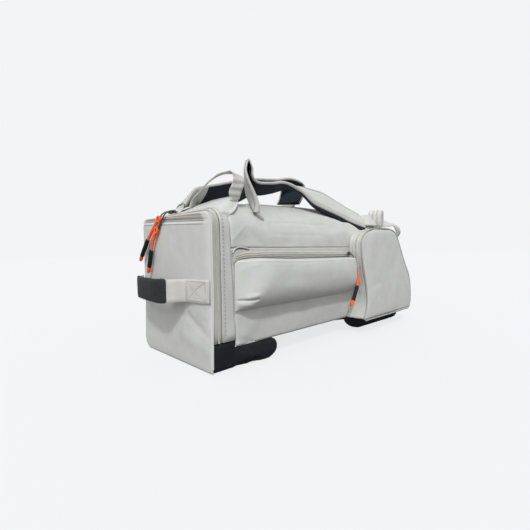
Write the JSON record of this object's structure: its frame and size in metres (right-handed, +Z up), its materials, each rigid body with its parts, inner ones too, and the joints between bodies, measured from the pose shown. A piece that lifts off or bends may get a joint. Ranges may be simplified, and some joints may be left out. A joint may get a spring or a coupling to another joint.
{
  "type": "travel duffel bag",
  "caption": "Soft box-shaped travel duffel of pale coated fabric with a zip-around end, front bellows pocket, boot pocket, padded shoulder straps, grab handles and skid feet.",
  "frame": {"origin": "on the floor under the middle of the bag's box, with the bag standing on its feet", "axes": "+X along the bag from the zipped end to the other end, +Y from the pocket side to the back, +Z up"},
  "size_m": [0.871, 0.3692, 0.4653],
  "materials": {
    "coated_fabric": "matte pale grey coated fabric",
    "black_fabric": "black coated fabric",
    "spacer_mesh": "black padded mesh",
    "webbing": "woven pale grey webbing",
    "zip_tape": "woven pale grey zip tape",
    "zip_coil": "pale nylon coil",
    "buckle_plastic": "matte pale grey plastic",
    "orange_cord": "bright orange cord",
    "pull_sleeve": "black moulded sleeve",
    "slider_metal": "dark burnished metal"
  },
  "bodies": {
    "root": {"front_panel": "coated_fabric", "back_panel": "coated_fabric", "top_panel": "coated_fabric", "base_panel": "coated_fabric", "right_end_panel": "coated_fabric", "end_flap": "coated_fabric", "end_zip_tape": "zip_tape", "end_zip_coil": "zip_coil", "end_gusset": "coated_fabric", "corner_base": "black_fabric", "left_foot": "black_fabric", "right_foot": "black_fabric", "front_pocket": "coated_fabric", "pocket_zip_tape": "zip_tape", "pocket_zip_coil": "zip_coil", "boot_pocket_face": "coated_fabric", "boot_pocket_gusset": "coated_fabric", "boot_pocket_piping": "coated_fabric", "boot_pocket_zip": "zip_coil", "end_handle_webbing": "webbing", "end_handle_grip": "black_fabric", "haul_loop": "webbing", "top_yoke": "coated_fabric", "near_strap_cover": "coated_fabric", "near_strap_pad": "spacer_mesh", "near_strap_tab": "webbing", "near_strap_webbing": "webbing", "near_strap_lock": "buckle_plastic", "far_strap_cover": "coated_fabric", "far_strap_pad": "spacer_mesh", "far_strap_tab": "webbing", "far_strap_end_tab": "webbing", "slider_end_a": "slider_metal", "slider_end_b": "slider_metal", "slider_pocket": "slider_metal", "pull_end_a_cord": "orange_cord", "pull_end_a_sleeve": "pull_sleeve", "pull_end_a_tip": "orange_cord", "pull_end_b_cord": "orange_cord", "pull_end_b_sleeve": "pull_sleeve", "pull_end_b_tip": "orange_cord", "pull_pocket_cord": "orange_cord", "pull_pocket_sleeve": "pull_sleeve", "pull_pocket_tip": "orange_cord"}
  },
  "joints": []
}
